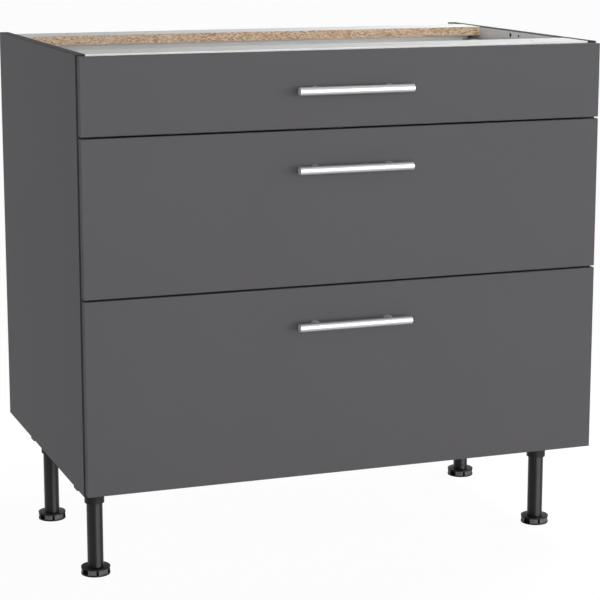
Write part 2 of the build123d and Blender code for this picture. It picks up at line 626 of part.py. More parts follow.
def cabinet_rails(name):
    """Outer channel, screwed to the side panel."""
    channel_rail = channel(INNER_HALF, INNER_HALF - CABINET_RAIL_FLANGE, runner_heights(name, 0),
                           RUNNER_STEEL, runner_span())
    z = RUNNER_CENTRES[name]
    for y in runner_screw_depths():
        channel_rail -= rod(RUNNER_SCREW_RADIUS + HOLE_PLAY, (INNER_HALF - RUNNER_STEEL, y, z),
                            (INNER_HALF, y, z))
    return pair(channel_rail)


def runner_screws():
    pieces = []
    inner = INNER_HALF - RUNNER_STEEL
    for z in RUNNER_CENTRES.values():
        for y in runner_screw_depths():
            shank = rod(RUNNER_SCREW_RADIUS - HOLE_PLAY, (inner, y, z), (INNER_HALF + RUNNER_SCREW_LENGTH, y, z))
            head = rod(RUNNER_SCREW_HEAD_RADIUS, (inner - RUNNER_SCREW_HEAD_HEIGHT, y, z), (inner, y, z))
            screw = shank + head
            pieces += [screw, mirrored(screw)]
    return group(pieces)


def intermediate_rails(name):
    """Middle channel, which travels half as far as the drawer."""
    inset = RUNNER_STEEL + RUNNER_PLAY
    web = INNER_HALF - INTERMEDIATE_RAIL_OFFSET
    return pair(channel(web, INNER_HALF - CABINET_RAIL_FLANGE, runner_heights(name, inset),
                        RUNNER_STEEL, runner_span()))


def drawer_rails(name):
    """Inner channel, fixed to the drawer side, open towards the side panel."""
    inset = 2 * (RUNNER_STEEL + RUNNER_PLAY)
    return pair(channel(BOX_HALF, BOX_HALF + DRAWER_RAIL_FLANGE, runner_heights(name, inset),
                        RUNNER_STEEL, runner_span()))


# ------------------------------------------------------------------ all nodes
def carcass_nodes():
    right = side_panel()
    nodes = {"side_panel_right": right, "side_panel_left": mirrored(right),
             "bottom_panel": bottom_panel(), "front_rail": front_rail(), "rear_rail": rear_rail(),
             "back_panel": back_panel(), "dowels": dowels(), "cam_bolts": cam_bolts(),
             "cam_housings": cam_housings(), "bumpers": bumpers(), "leg_sockets": leg_sockets(),
             "plate_screws": plate_screws(), "runner_screws": runner_screws()}
    for place, x, y in leg_places():
        nodes[f"leg_tube_{place}"] = leg_tube(x, y)
        nodes[f"foot_{place}"] = foot(x, y)
    return nodes


def drawer_nodes(name):
    right = drawer_side(name)
    nodes = {f"front_{name}": drawer_front(name), f"handle_bar_{name}": handle_bar(name),
             f"handle_posts_{name}": handle_posts(name), f"handle_screws_{name}": handle_screws(name),
             f"drawer_side_right_{name}": right, f"drawer_side_left_{name}": mirrored(right),
             f"drawer_base_{name}": drawer_base(name), f"drawer_back_{name}": drawer_back(name),
             f"front_brackets_{name}": front_brackets(name), f"drawer_rails_{name}": drawer_rails(name),
             f"intermediate_rails_{name}": intermediate_rails(name),
             f"cabinet_rails_{name}": cabinet_rails(name)}
    if name in GALLERY_DRAWERS:
        nodes[f"gallery_rails_{name}"] = gallery_rails(name)
    return nodes


def main():
    os.makedirs("parts", exist_ok=True)
    nodes = carcass_nodes()
    for name in NAMES:
        nodes.update(drawer_nodes(name))
    for node, shape in nodes.items():
        export_step(shape, f"parts/{node}.step")
    print(len(nodes), "nodes, cabinet", CABINET_WIDTH, "x", TOTAL_DEPTH, "x", CARCASS_TOP)


main()
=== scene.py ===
"""Looks of a kitchen base cabinet: banded chipboard boards, steel drawer boxes, bar handles, screw feet.

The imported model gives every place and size. Lengths are metres, and MM turns millimetres into them.
"""
import json
import math

import bmesh
import bpy
from mathutils import Euler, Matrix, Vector

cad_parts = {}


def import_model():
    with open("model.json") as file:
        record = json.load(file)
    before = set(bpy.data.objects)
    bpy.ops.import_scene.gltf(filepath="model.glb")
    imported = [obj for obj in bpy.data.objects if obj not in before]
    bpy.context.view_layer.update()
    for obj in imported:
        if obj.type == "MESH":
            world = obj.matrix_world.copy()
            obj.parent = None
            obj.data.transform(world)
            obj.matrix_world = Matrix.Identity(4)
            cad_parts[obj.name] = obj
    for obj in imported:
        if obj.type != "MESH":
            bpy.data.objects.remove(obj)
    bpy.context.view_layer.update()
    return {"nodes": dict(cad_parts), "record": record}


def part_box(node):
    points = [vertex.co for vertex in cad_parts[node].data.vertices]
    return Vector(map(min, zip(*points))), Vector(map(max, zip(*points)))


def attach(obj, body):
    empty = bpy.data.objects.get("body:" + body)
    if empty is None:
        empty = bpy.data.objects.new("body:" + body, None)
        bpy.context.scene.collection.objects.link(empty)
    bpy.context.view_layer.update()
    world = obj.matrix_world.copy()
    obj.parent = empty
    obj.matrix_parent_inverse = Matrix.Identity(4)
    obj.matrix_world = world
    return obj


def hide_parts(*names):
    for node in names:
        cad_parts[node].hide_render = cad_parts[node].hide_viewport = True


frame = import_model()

NODES = frame["nodes"]
BODIES = frame["record"]["behaviour"]["bodies"]
BODY_OF = {node: body for body, nodes in BODIES.items() for node in nodes}
DRAWERS = ("bottom", "middle", "top")
LEGS = ("front_left", "front_right", "rear_left", "rear_right")
AXES = {"x": 0, "y": 1, "z": 2}

# ------------------------------------------------------------------ how closely shapes are read
MM = 0.001
MERGE = 0.002 * MM            # corners closer than this are one
TOUCH = 0.01 * MM             # a face this close to a level lies on it
FLAT = math.radians(0.3)      # faces that turn less than this are one flat area
SHARP = math.radians(32)      # an edge that turns more than this isn't shaded smooth
FACING = 0.9                  # a face looks along a direction if their cosine is above this

# ------------------------------------------------------------------ sizes that only the looks have
BAND = 1.0 * MM               # thickness of the edge banding
ROUND_FROM = math.radians(40)  # an edge that turns more than this is rounded
STEEL_ROUNDING = 0.4 * MM     # width of the rounding on the drawers' steel sides,
COLLAR_ROUNDING = 0.25 * MM   # on the collars of the gallery rails
PLASTIC_ROUNDING = 0.3 * MM   # and on the legs
COLLAR_SKIN = 0.5 * MM        # faces this close to a collar's radius belong to the collar

HANDLE_SCREW = (2.4 * MM, 2.0 * MM)     # height of a screw's head and radius of its shank
PLATE_SCREW = (2.2 * MM, 1.95 * MM)
RUNNER_SCREW = (1.4 * MM, 2.45 * MM)
RECESS = (1.1, 0.2)           # length and width of each slot of a cross recess, in radii of the head
HEAD_DOME = 0.35              # share of its radius that a screw head loses towards its top,
PAD_DOME = 0.6                # and that a bumper loses
DOME_STEPS = 9                # rings that draw a dome
DOME_POWER = 4.0              # a higher power keeps a dome straight for longer before it rounds off
ROUND_SIDES = 32              # sides of a round rod, and steps in one turn of a thread
RIDGE_SIDES = 6               # sides of a thread's ridge

STEM_CORE = 8.4 * MM          # radius of a foot's stem between the ridges of its thread
STEM_START = 0.4 * MM         # height above the tube's lower edge from which the stem is a thread
THREAD_PITCH = 3.0 * MM
THREAD_RIDGE = 0.5 * MM       # radius of the ridge's own section
THREAD_RISE = 0.1 * MM        # how far the ridge's middle lies outside the core
THREAD_FREE = 1.0 * MM        # bare core at each end of the thread
LUG_SHEEN_BAND = (2.8 * MM, 10.6 * MM)       # lower and upper end of the lugs around a foot, whose grey outer faces are a painted sheen
FOOT_RIM = 0.9                # share of a foot's radius beyond which a face is on its rim

# ------------------------------------------------------------------ camera, measured from the photograph
PHOTO_SIZE = 600
CAMERA_PLACE = (-1.1633, -3.218, 1.0981)
CAMERA_YAW = 20.08            # degrees, turned from +Y towards +X
CAMERA_PITCH = 10.54          # degrees below level
FOCAL_PIXELS = 1964.2
CENTRE_SHIFT = -30            # pixels: the photograph shows more below the lens axis than above
SENSOR = 36.0
SIGHT = 200                   # metres that the camera sees

# ------------------------------------------------------------------ light and stage
WHITE = "#ffffff"
HORIZON_LIGHT = 0.8           # strength of the room's light from the walls
ZENITH_LIGHT = 0.02           # and from straight above
LAMP_AIM = Vector((0, 0, 0.45))         # middle of the cabinet
FLOOR_REACH = 40.0
FLOOR_LIT = "#e1e1e1"         # the floor as it lights the cabinet from below
FLOOR_GLOW = 0.935            # the even white that the camera sees on the floor,
FLOOR_SHADOW = "#696969"      # and what the light adds to it, which a shadow takes away


def linear(code):
    """Linear colour of an sRGB hex value."""
    parts = [int(code[i:i + 2], 16) / 255 for i in (1, 3, 5)]
    return tuple(c / 12.92 if c <= 0.04045 else ((c + 0.055) / 1.055) ** 2.4 for c in parts) + (1.0,)


def scaled(code, share):
    """Linear colour of an sRGB hex value, made lighter or darker by this share."""
    return tuple(part * share for part in linear(code)[:3]) + (1.0,)


# ------------------------------------------------------------------ material nodes
MIX_SHARE, MIX_LOW, MIX_HIGH, MIX_RESULT = 0, 6, 7, 2       # sockets of a Mix node that blends colours


def add(tree, kind, inputs=None, **settings):
    """One node with its settings, and a value, a link or a list of links for each input."""
    node = tree.nodes.new(kind)
    for name, value in settings.items():
        setattr(node, name, value)
    for name, value in (inputs or {}).items():
        sources = value if isinstance(value, list) else [value]
        if isinstance(sources[0], bpy.types.NodeSocket):
            for source in sources:
                tree.links.new(source, node.inputs[name])
        else:
            node.inputs[name].default_value = value
    return node


def new_material(name, **surface):
    """A material with one Principled shader; its constant values are set on the shader's own sockets."""
    material = bpy.data.materials.new(name)
    material.use_nodes = True
    tree = material.node_tree
    shader = tree.nodes["Principled BSDF"]
    for socket, value in surface.items():
        shader.inputs[socket.replace("_", " ")].default_value = value
    return material, tree, shader


def object_space(tree, stretch=(1, 1, 1)):
    """Object coordinates, drawn out along the grain by a stretch below 1."""
    place = add(tree, "ShaderNodeTexCoord").outputs["Object"]
    return add(tree, "ShaderNodeMapping", {"Vector": place, "Scale": stretch}).outputs[0]


def tint(tree, shader, pattern, low, high, span=(0.35, 0.65)):
    """The surface's colour goes from low to high as the pattern's value goes through the span."""
    share = add(tree, "ShaderNodeMapRange", {"Value": pattern, "From Min": span[0], "From Max": span[1]})
    mix = add(tree, "ShaderNodeMix", {MIX_SHARE: share.outputs[0], MIX_LOW: low, MIX_HIGH: high},
              data_type="RGBA")
    tree.links.new(mix.outputs[MIX_RESULT], shader.inputs["Base Color"])


def roughen(tree, shader, pattern, middle, swing, span=(0.3, 0.7)):
    """The surface's roughness swings about its middle value as the pattern goes through the span."""
    rough = add(tree, "ShaderNodeMapRange", {"Value": pattern, "From Min": span[0], "From Max": span[1],
                                             "To Min": middle - swing, "To Max": middle + swing})
    tree.links.new(rough.outputs[0], shader.inputs["Roughness"])


def emboss(tree, shader, pattern, strength, depth):
    """The surface rises with the pattern."""
    bump = add(tree, "ShaderNodeBump", {"Height": pattern, "Strength": strength, "Distance": depth})
    tree.links.new(bump.outputs[0], shader.inputs["Normal"])


# ------------------------------------------------------------------ materials
def melamine(name, code, change, roughness, level, depth):
    """Melamine paper pressed on chipboard, and the extruded ABS strip on its edges.

    An even matt colour under a faint pearl texture 0.9 mm across, with a slow change over 180 mm. change is
    the share by which the colour drifts, level the strength of its reflection, depth that of the pearl.
    """
    material, tree, shader = new_material(name, IOR=1.5, Specular_IOR_Level=level)
    place = object_space(tree)
    cloud = add(tree, "ShaderNodeTexNoise", {"Vector": place, "Scale": 1 / (180 * MM), "Detail": 2.0})
    pearl = add(tree, "ShaderNodeTexNoise", {"Vector": place, "Scale": 1 / (0.9 * MM), "Detail": 1.0})
    tint(tree, shader, cloud.outputs[0], scaled(code, 1 - change), scaled(code, 1 + change))
    roughen(tree, shader, pearl.outputs[0], roughness, 0.05)
    emboss(tree, shader, pearl.outputs[0], 0.35, depth)
    return material


def raw_chipboard():
    """Sawn chipboard: pale spruce chips of 1 to 4 mm, pressed flat, between darker resin gaps and pits."""
    material, tree, shader = new_material("chipboard_raw_edge", IOR=1.45, Roughness=0.85,
                                          Specular_IOR_Level=0.2)
    place = object_space(tree, (0.42, 0.42, 1.0))
    chips = add(tree, "ShaderNodeTexVoronoi", {"Vector": place, "Scale": 1 / (1.9 * MM), "Randomness": 1.0})
    fine = add(tree, "ShaderNodeTexVoronoi", {"Vector": place, "Scale": 1 / (0.7 * MM)})
    tone = add(tree, "ShaderNodeSeparateColor", {"Color": chips.outputs["Color"]}).outputs["Red"]
    dust = add(tree, "ShaderNodeSeparateColor", {"Color": fine.outputs["Color"]}).outputs["Green"]
    wood = add(tree, "ShaderNodeValToRGB", {"Fac": tone})
    wood.color_ramp.elements[0].color = linear("#b08a68")
    wood.color_ramp.elements[1].color = linear("#ecd9c2")
    middle = wood.color_ramp.elements.new(0.3)
    middle.color = linear("#d3b193")
    pits = add(tree, "ShaderNodeMapRange",
               {"Value": dust, "From Min": 0.86, "From Max": 0.9, "To Max": 0.75})
    mix = add(tree, "ShaderNodeMix",
              {MIX_SHARE: pits.outputs[0], MIX_LOW: wood.outputs[0], MIX_HIGH: linear("#7b5a40")},
              data_type="RGBA")
    tree.links.new(mix.outputs[MIX_RESULT], shader.inputs["Base Color"])
    height = add(tree, "ShaderNodeMapRange", {"Value": dust, "To Min": 0.2})
    emboss(tree, shader, height.outputs[0], 0.5, 0.25 * MM)
    return material


def bore_shade_chipboard():
    """Wall of a drilled hole or a groove: chips cut across, in a dull grey brown darker than the raw edge,
    as painted shade inside the hole.
    """
    material, tree, shader = new_material("chipboard_bore_painted_shade", IOR=1.45, Roughness=0.9,
                                          Specular_IOR_Level=0.1)
    place = object_space(tree)
    chips = add(tree, "ShaderNodeTexNoise", {"Vector": place, "Scale": 1 / (1.5 * MM), "Detail": 2.0})
    tint(tree, shader, chips.outputs[0], linear("#6a6058"), linear("#857a70"))
    return material


def hardboard():
    """Back of the thin fibreboard: an even brown of pressed wood fibres, a few of them paler or darker."""
    material, tree, shader = new_material("fibreboard_brown_back", IOR=1.45, Roughness=0.7)
    place = object_space(tree)
    cloud = add(tree, "ShaderNodeTexNoise", {"Vector": place, "Scale": 1 / (40 * MM), "Detail": 5.0})
    fibre = add(tree, "ShaderNodeTexNoise", {"Vector": place, "Scale": 1 / (2.5 * MM), "Detail": 3.0})
    both = add(tree, "ShaderNodeMath", {0: cloud.outputs[0], 1: fibre.outputs[0]}, operation="ADD")
    tint(tree, shader, both.outputs[0], linear("#896748"), linear("#a07b59"), (0.7, 1.3))
    emboss(tree, shader, fibre.outputs[0], 0.3, 0.1 * MM)
    return material


def beech():
    """Turned beech dowel: pink-brown wood with short dark flecks along the peg."""
    material, tree, shader = new_material("beech_turned", IOR=1.45, Roughness=0.6)
    place = object_space(tree, (0.15, 1, 1))
    grain = add(tree, "ShaderNodeTexNoise", {"Vector": place, "Scale": 1 / (0.8 * MM), "Detail": 3.0})
    tint(tree, shader, grain.outputs[0], linear("#b98a5e"), linear("#d8b48a"), (0.3, 0.7))
    return material


def satin_metal(name, code, along, roughness, metal):
    """Belt-polished metal under a thin lacquer: long fine scratches draw highlights into a soft band.

    The scratches are 0.35 mm apart, coarser than real ones, so that they show.
    """
    material, tree, shader = new_material(name, Metallic=metal, Base_Color=linear(code))
    place = object_space(tree, along)
    lines = add(tree, "ShaderNodeTexNoise", {"Vector": place, "Scale": 1 / (0.35 * MM), "Detail": 2.0})
    roughen(tree, shader, lines.outputs[0], roughness, 0.06)
    emboss(tree, shader, lines.outputs[0], 0.12, 0.02 * MM)
    return material


def zinc_plated_steel():
    """Zinc-plated sheet steel: bluish grey, with a faint crystal pattern 5 mm across."""
    material, tree, shader = new_material("zinc_plated_steel", Metallic=1.0)
    place = object_space(tree)
    crystal = add(tree, "ShaderNodeTexVoronoi", {"Vector": place, "Scale": 1 / (5 * MM)})
    tone = add(tree, "ShaderNodeSeparateColor", {"Color": crystal.outputs["Color"]}).outputs["Red"]
    tint(tree, shader, tone, linear("#a4a8ab"), linear("#b6b9bb"), (0, 1))
    roughen(tree, shader, tone, 0.36, 0.06, (0, 1))
    return material


def zinc_casting():
    """Die-cast zinc cam: dull grey with a cast skin 0.6 mm across."""
    material, tree, shader = new_material("zinc_die_casting", Metallic=1.0, Base_Color=linear("#97999b"))
    place = object_space(tree)
    skin = add(tree, "ShaderNodeTexNoise", {"Vector": place, "Scale": 1 / (0.6 * MM), "Detail": 2.0})
    roughen(tree, shader, skin.outputs[0], 0.5, 0.08)
    emboss(tree, shader, skin.outputs[0], 0.3, 0.05 * MM)
    return material


def powder_coat():
    """Powder-coated steel: silver-grey paint with metal flakes and a soft orange peel 1.2 mm across."""
    material, tree, shader = new_material("powder_coated_steel_grey", IOR=1.5)
    place = object_space(tree)
    peel = add(tree, "ShaderNodeTexNoise", {"Vector": place, "Scale": 1 / (1.2 * MM), "Detail": 1.0})
    flake = add(tree, "ShaderNodeTexNoise", {"Vector": place, "Scale": 1 / (0.5 * MM), "Detail": 0.0})
    tint(tree, shader, flake.outputs[0], linear("#9c9ea0"), linear("#a9abad"), (0.3, 0.7))
    roughen(tree, shader, peel.outputs[0], 0.37, 0.05)
    emboss(tree, shader, peel.outputs[0], 0.25, 0.04 * MM)
    return material


def moulded_plastic(name, code, roughness, level, drawn=0.0):
    """Injection-moulded plastic with the spark-eroded grain of its mould and slow flow marks.

    The grain is 0.4 mm across, coarser than a real one, so that it shows. level is the strength of its
    reflection, and drawn how far a highlight is drawn out upwards, as on a tube with fine rings around it.
    """
    material, tree, shader = new_material(name, IOR=1.49, Specular_IOR_Level=level, Anisotropic=drawn)
    if drawn:
        upwards = add(tree, "ShaderNodeCombineXYZ", {"Z": 1.0})
        tree.links.new(upwards.outputs[0], shader.inputs["Tangent"])
    place = object_space(tree)
    grain = add(tree, "ShaderNodeTexNoise", {"Vector": place, "Scale": 1 / (0.4 * MM), "Detail": 2.0})
    flow = add(tree, "ShaderNodeTexNoise", {"Vector": place, "Scale": 1 / (25 * MM), "Detail": 1.0})
    tint(tree, shader, flow.outputs[0], linear(code), scaled(code, 1.35))
    roughen(tree, shader, grain.outputs[0], roughness, 0.05)
    emboss(tree, shader, grain.outputs[0], 0.25, 0.03 * MM)
    return material


def clear_polyurethane():
    """Soft clear pad: half see-through, slightly milky, with a wavy skin 2 mm across."""
    material, tree, shader = new_material("polyurethane_clear", IOR=1.5, Roughness=0.18,
                                          Base_Color=linear("#e2e4e2"), Transmission_Weight=0.7)
    place = object_space(tree)
    skin = add(tree, "ShaderNodeTexNoise", {"Vector": place, "Scale": 1 / (2 * MM)})
    emboss(tree, shader, skin.outputs[0], 0.1, 0.05 * MM)
    return material


# The banding of the fronts has their own tone. That of the side panels is painted darker, as shade on their
# front edges in the gap behind the fronts and on their top edges, and reads as a thin dark frame. The light
# grey paper is dull, and its banding is glossier and catches the light as a bright line.
# Each line gives the change of colour, the roughness, the strength of the reflection and the pearl's depth.
ANTHRACITE = melamine("melamine_anthracite", "#5f5d60", 0.012, 0.66, 0.12, 0.05 * MM)
ANTHRACITE_BAND = melamine("abs_banding_anthracite", "#5f5e60", 0.01, 0.64, 0.08, 0.02 * MM)
SHADED_SIDE_BANDING = melamine("abs_banding_painted_shade", "#434245", 0.01, 0.64, 0.03, 0.02 * MM)
LIGHT = melamine("melamine_light_grey", "#dddddc", 0.008, 0.6, 0.07, 0.05 * MM)
LIGHT_BAND = melamine("abs_banding_light_grey", "#d6d6d5", 0.008, 0.4, 0.5, 0.02 * MM)
CHIPBOARD = raw_chipboard()
# walls of holes and grooves: chipboard darkened as painted shade
BORE_SHADE_CHIPBOARD = bore_shade_chipboard()
HARDBOARD = hardboard()
BEECH = beech()

# The bar is bare steel, polished along its length. Its posts are lacquered castings, so they look duller.
HANDLE_STEEL = satin_metal("steel_belt_polished_lacquered", "#bcbdbe", (0.03, 1, 1), 0.38, 0.8)
POST_METAL = satin_metal("zinc_casting_silver_lacquer", "#d4d5d6", (1, 0.1, 1), 0.45, 0.25)
ZINC = zinc_plated_steel()
CASTING = zinc_casting()
PAINTED_STEEL = powder_coat()

# Black straight from the mould is dull. Fine rings around the tubes draw their highlights out upwards. The
# lugs that fingers grip are grained, and their outer faces are painted grey as a sheen where they catch the
# light. The drawers' collars are a plain satin grey.
BLACK_PLASTIC = moulded_plastic("polypropylene_black", "#09090a", 0.5, 0.2)
TUBE_PLASTIC = moulded_plastic("polypropylene_black_tube", "#060607", 0.42, 0.3, 0.85)
LUG_SHEEN_PLASTIC = moulded_plastic("polypropylene_black_painted_sheen", "#58585b", 0.6, 0.3)
GREY_PLASTIC = moulded_plastic("abs_grey", "#8d8f91", 0.45, 0.5)
CLEAR_PAD = clear_polyurethane()


# ------------------------------------------------------------------ meshes
def new_piece(name, mesh, finishes=()):
    """An object at the origin that holds a finished mesh, shaded smooth between its sharp edges."""
    piece = bpy.data.objects.new(name, mesh)
    bpy.context.scene.collection.objects.link(piece)
    for finish in finishes:
        mesh.materials.append(finish)
    mesh.shade_smooth()
    mesh.set_sharp_from_angle(angle=SHARP)
    return piece


def merged(node):
    """A copy of the node's loose triangles with their shared corners made one."""
    shape = bmesh.new()
    shape.from_mesh(NODES[node].data)
    bmesh.ops.remove_doubles(shape, verts=shape.verts, dist=MERGE)
    return shape


def cad_copy(node):
    """The node's shape, with each flat area joined into a single face."""
    shape = merged(node)
    bmesh.ops.dissolve_limit(shape, angle_limit=FLAT, verts=shape.verts, edges=shape.edges)
    return shape


def cut_across(shape, axis, level):
    """Cut the faces of a shape at this level, and take nothing away."""
    place = [level if i == axis else 0 for i in range(3)]
    normal = [1 if i == axis else 0 for i in range(3)]
    parts = shape.verts[:] + shape.edges[:] + shape.faces[:]
    bmesh.ops.bisect_plane(shape, geom=parts, plane_co=place, plane_no=normal, dist=MERGE)


def piece_of(shape, name, finishes):
    """A piece with this edited shape."""
    mesh = bpy.data.meshes.new(name)
    shape.to_mesh(mesh)
    shape.free()
    return new_piece(name, mesh, finishes)


def carry(piece, node):
    """The piece stands for this CAD node and moves with its body."""
    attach(piece, BODY_OF[node])
    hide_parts(node)
    return piece


def round_edges(piece, width):
    """Round the edges that turn sharply, so that they catch a thin highlight."""
    bevel = piece.modifiers.new("rounded_edges", "BEVEL")
    bevel.width = width
    bevel.segments = 2
    bevel.limit_method = "ANGLE"
    bevel.angle_limit = ROUND_FROM
    bevel.harden_normals = True


def solids(node):
    """Lowest and highest corner of each separate solid in a CAD node."""
    shape = merged(node)
    waiting = set(shape.verts)
    corners = []
    for first in shape.verts:
        if first not in waiting:
            continue
        waiting.remove(first)
        found = []
        border = [first]
        while border:
            vert = border.pop()
            found.append(vert.co.copy())
            near = {edge.other_vert(vert) for edge in vert.link_edges} & waiting
            waiting -= near
            border += near
        spans = [[place[axis] for place in found] for axis in range(3)]
        corners.append([Vector([pick(span) for span in spans]) for pick in (min, max)])
    shape.free()
    return corners


# ------------------------------------------------------------------ what repeats, grown by Geometry Nodes
def new_tree(name, sizes):
    """A tree that takes places, sizes in metres and a finish; returned with its input sockets."""
    tree = bpy.data.node_groups.new(name, "GeometryNodeTree")
    inputs = [("Places", "NodeSocketGeometry")] + [(size, "NodeSocketFloat") for size in sizes]
    for label, kind in inputs + [("Finish", "NodeSocketMaterial")]:
        tree.interface.new_socket(label, in_out="INPUT", socket_type=kind)
    tree.interface.new_socket("Geometry", in_out="OUTPUT", socket_type="NodeSocketGeometry")
    return tree, add(tree, "NodeGroupInput").outputs


def plant(tree, inputs, piece):
    """End a tree: the piece stands on every place, its +Z along the place's arrow."""
    arrow = add(tree, "GeometryNodeInputNamedAttribute", {"Name": "arrow"}, data_type="FLOAT_VECTOR")
    turn = add(tree, "FunctionNodeAlignRotationToVector", {"Vector": arrow.outputs[0]}, axis="Z")
    copies = add(tree, "GeometryNodeInstanceOnPoints",
                 {"Points": inputs["Places"], "Instance": piece, "Rotation": turn.outputs[0]})
    solid = add(tree, "GeometryNodeRealizeInstances", {"Geometry": copies.outputs[0]})
    painted = add(tree, "GeometryNodeSetMaterial",
                  {"Geometry": solid.outputs[0], "Material": inputs["Finish"]})
    add(tree, "NodeGroupOutput", {"Geometry": painted.outputs[0]})
    return tree


def turned_rod(tree, radius, start, end, dome=0.0):
    """A round rod along Z whose far end loses this share of its radius, most of it near the tip."""
    ends = [add(tree, "ShaderNodeCombineXYZ", {"Z": level}).outputs[0] for level in (start, end)]
    line = add(tree, "GeometryNodeCurvePrimitiveLine", {"Start": ends[0], "End": ends[1]})
    steps = add(tree, "GeometryNodeResampleCurve",
                {"Curve": line.outputs[0], "Count": DOME_STEPS if dome else 2})
    along = add(tree, "GeometryNodeSplineParameter")
    tip = add(tree, "ShaderNodeMath", {0: along.outputs["Factor"], 1: DOME_POWER}, operation="POWER")
    share = add(tree, "ShaderNodeMath", {0: tip.outputs[0], 1: -dome, 2: 1.0}, operation="MULTIPLY_ADD")
    ring = add(tree, "GeometryNodeCurvePrimitiveCircle", {"Resolution": ROUND_SIDES, "Radius": radius})
    rod = add(tree, "GeometryNodeCurveToMesh",
              {"Curve": steps.outputs[0], "Profile Curve": ring.outputs[0],
               "Scale": share.outputs[0], "Fill Caps": True})
    return rod.outputs[0]


def pan_head_screws():
    """Screws with a rounded head and a cross recess: the head stands on its place, the shank behind it."""
    tree, size = new_tree("pan_head_screws", ("Head radius", "Head height", "Shank radius", "Shank length"))
    head = turned_rod(tree, size["Head radius"], 0.0, size["Head height"], HEAD_DOME)
    length, width = (add(tree, "ShaderNodeMath", {0: size["Head radius"], 1: share}, operation="MULTIPLY")
                     for share in RECESS)
    extent = add(tree, "ShaderNodeCombineXYZ",
                 {"X": length.outputs[0], "Y": width.outputs[0], "Z": size["Head height"]})
    slot = add(tree, "GeometryNodeMeshCube", {"Size": extent.outputs[0]})
    lift = add(tree, "ShaderNodeCombineXYZ", {"Z": size["Head height"]})
    slots = [add(tree, "GeometryNodeTransform",
                 {"Geometry": slot.outputs[0], "Translation": lift.outputs[0], "Rotation": (0, 0, turn)})
             for turn in (0.0, math.pi / 2)]
    cut = add(tree, "GeometryNodeMeshBoolean",
              {"Mesh 1": head, "Mesh 2": [slot.outputs[0] for slot in slots]}, operation="DIFFERENCE")
    depth = add(tree, "ShaderNodeMath", {0: size["Shank length"], 1: -1.0}, operation="MULTIPLY")
    shank = turned_rod(tree, size["Shank radius"], depth.outputs[0], 0.0)
    screw = add(tree, "GeometryNodeJoinGeometry", {"Geometry": [cut.outputs[0], shank]})
    return plant(tree, size, screw.outputs[0])


def domed_pads():
    """Round bumpers that stand on their places."""
    tree, size = new_tree("domed_pads", ("Radius", "Height"))
    return plant(tree, size, turned_rod(tree, size["Radius"], 0.0, size["Height"], PAD_DOME))


def thread_ridges():
    """The ridge of a screw thread, wound up from its place."""
    tree, size = new_tree("thread_ridges", ("Radius", "Ridge", "Pitch", "Length"))
    turns = add(tree, "ShaderNodeMath", {0: size["Length"], 1: size["Pitch"]}, operation="DIVIDE")
    coil = add(tree, "GeometryNodeCurveSpiral",
               {"Resolution": ROUND_SIDES, "Rotations": turns.outputs[0], "Start Radius": size["Radius"],
                "End Radius": size["Radius"], "Height": size["Length"]})
    section = add(tree, "GeometryNodeCurvePrimitiveCircle",
                  {"Resolution": RIDGE_SIDES, "Radius": size["Ridge"]})
    ridge = add(tree, "GeometryNodeCurveToMesh",
                {"Curve": coil.outputs[0], "Profile Curve": section.outputs[0], "Fill Caps": True})
    return plant(tree, size, ridge.outputs[0])


SCREW_TREE = pan_head_screws()
PAD_TREE = domed_pads()
THREAD_TREE = thread_ridges()


def grow(name, tree, places, sizes, finish):
    """A plain mesh with the tree's piece on each (place, arrow), riding on nothing yet."""
    carrier = bpy.data.meshes.new(name + "_places")
    carrier.from_pydata([place for place, _ in places], [], [])
    arrows = carrier.attributes.new("arrow", "FLOAT_VECTOR", "POINT")
    for point, (_, arrow) in zip(arrows.data, places):
        point.vector = arrow
    holder = bpy.data.objects.new(name + "_places", carrier)
    bpy.context.scene.collection.objects.link(holder)
    modifier = holder.modifiers.new("growth", "NODES")
    modifier.node_group = tree
    for socket in tree.interface.items_tree:
        if socket.in_out == "INPUT" and socket.name in sizes:
            modifier[socket.identifier] = sizes[socket.name]
        elif socket.name == "Finish":
            modifier[socket.identifier] = finish
    grown = holder.evaluated_get(bpy.context.evaluated_depsgraph_get())
    mesh = bpy.data.meshes.new_from_object(grown)
    bpy.data.objects.remove(holder)
    bpy.data.meshes.remove(carrier)
    return new_piece(name, mesh)


def screw_set(node, axis, facing, screw):
    """Cross-recessed screws in place of a CAD node's plain ones.

    facing gives the side that the head at a place looks to, along the axis.
    """
    head_height, shank_radius = screw
    boxes = solids(node)
    places = []
    for lo, hi in boxes:
        seat = (lo + hi) / 2
        side = facing(seat)
        seat[axis] = (hi if side > 0 else lo)[axis] - side * head_height
        places.append((seat, Vector([side if i == axis else 0 for i in range(3)])))
    lo, hi = boxes[0]
    sizes = {"Head radius": (hi - lo)[(axis + 1) % 3] / 2, "Head height": head_height,
             "Shank radius": shank_radius, "Shank length": (hi - lo)[axis] - head_height}
    carry(grow(node + "_cross_recessed", SCREW_TREE, places, sizes, ZINC), node)


# ------------------------------------------------------------------ boards
def side_of(face, lo, hi, banded):
    """Name of the board's side that the face is on, such as -y, or None for a cut inside the board.

    A face within the thickness of the banding belongs to the banded side.
    """
    middle = face.calc_center_median()
    for side in banded:
        axis = AXES[side[1]]
        depth = middle[axis] - lo[axis] if side[0] == "-" else hi[axis] - middle[axis]
        if depth < BAND:
            return side
    for name, axis in AXES.items():
        for sign, level in (("-", lo[axis]), ("+", hi[axis])):
            if abs(middle[axis] - level) < TOUCH and abs(face.normal[axis]) > FACING:
                return sign + name
    return None


